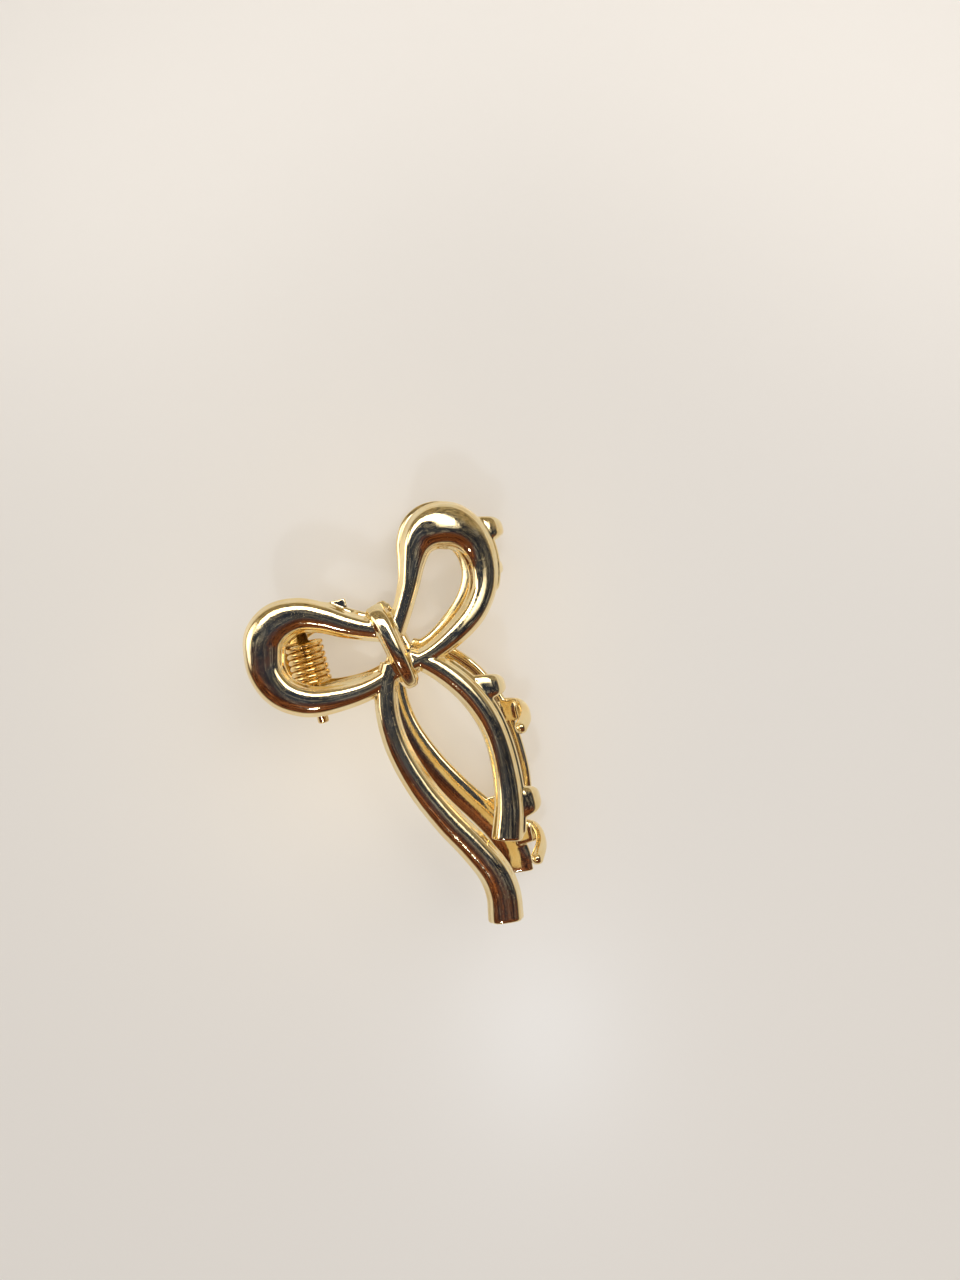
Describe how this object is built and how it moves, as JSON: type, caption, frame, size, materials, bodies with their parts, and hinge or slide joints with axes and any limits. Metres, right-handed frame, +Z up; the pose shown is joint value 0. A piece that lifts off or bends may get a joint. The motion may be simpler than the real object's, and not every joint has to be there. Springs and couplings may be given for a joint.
{
  "type": "claw hair clip",
  "caption": "Claw hair clip shaped as a ribbon bow: two arched cast jaws with curved teeth, joined by a pin and closed by a torsion spring.",
  "frame": {"origin": "middle of the base of the closed clip's bounding box, on the table it lies on", "axes": "+Z up from the table through the rear jaw, then the front jaw; +X from the spring handles towards the teeth; +Y towards the bow's upright loop, along its long direction"},
  "size_m": [0.059, 0.0816, 0.0298],
  "materials": {
    "gold_plate": "polished pale gold plate on cast zinc alloy",
    "gold_pin": "gold plated steel rivet",
    "gold_wire": "gold plated spring wire"
  },
  "bodies": {
    "rear": {"rear_jaw": "gold_plate", "hinge_pin": "gold_pin", "torsion_spring": "gold_wire"},
    "front": {"front_jaw": "gold_plate"}
  },
  "joints": [
    {"name": "jaw_hinge", "type": "hinge", "parent": "rear", "child": "front", "pos_m": [-0.01781, 0.0083, 0.01515], "axis": [0.2487, -0.9686, 0], "range_deg": [0, 50], "stiffness_Nm_per_rad": 0.09, "springref_deg": -34.38, "deforming": ["torsion_spring"]}
  ]
}
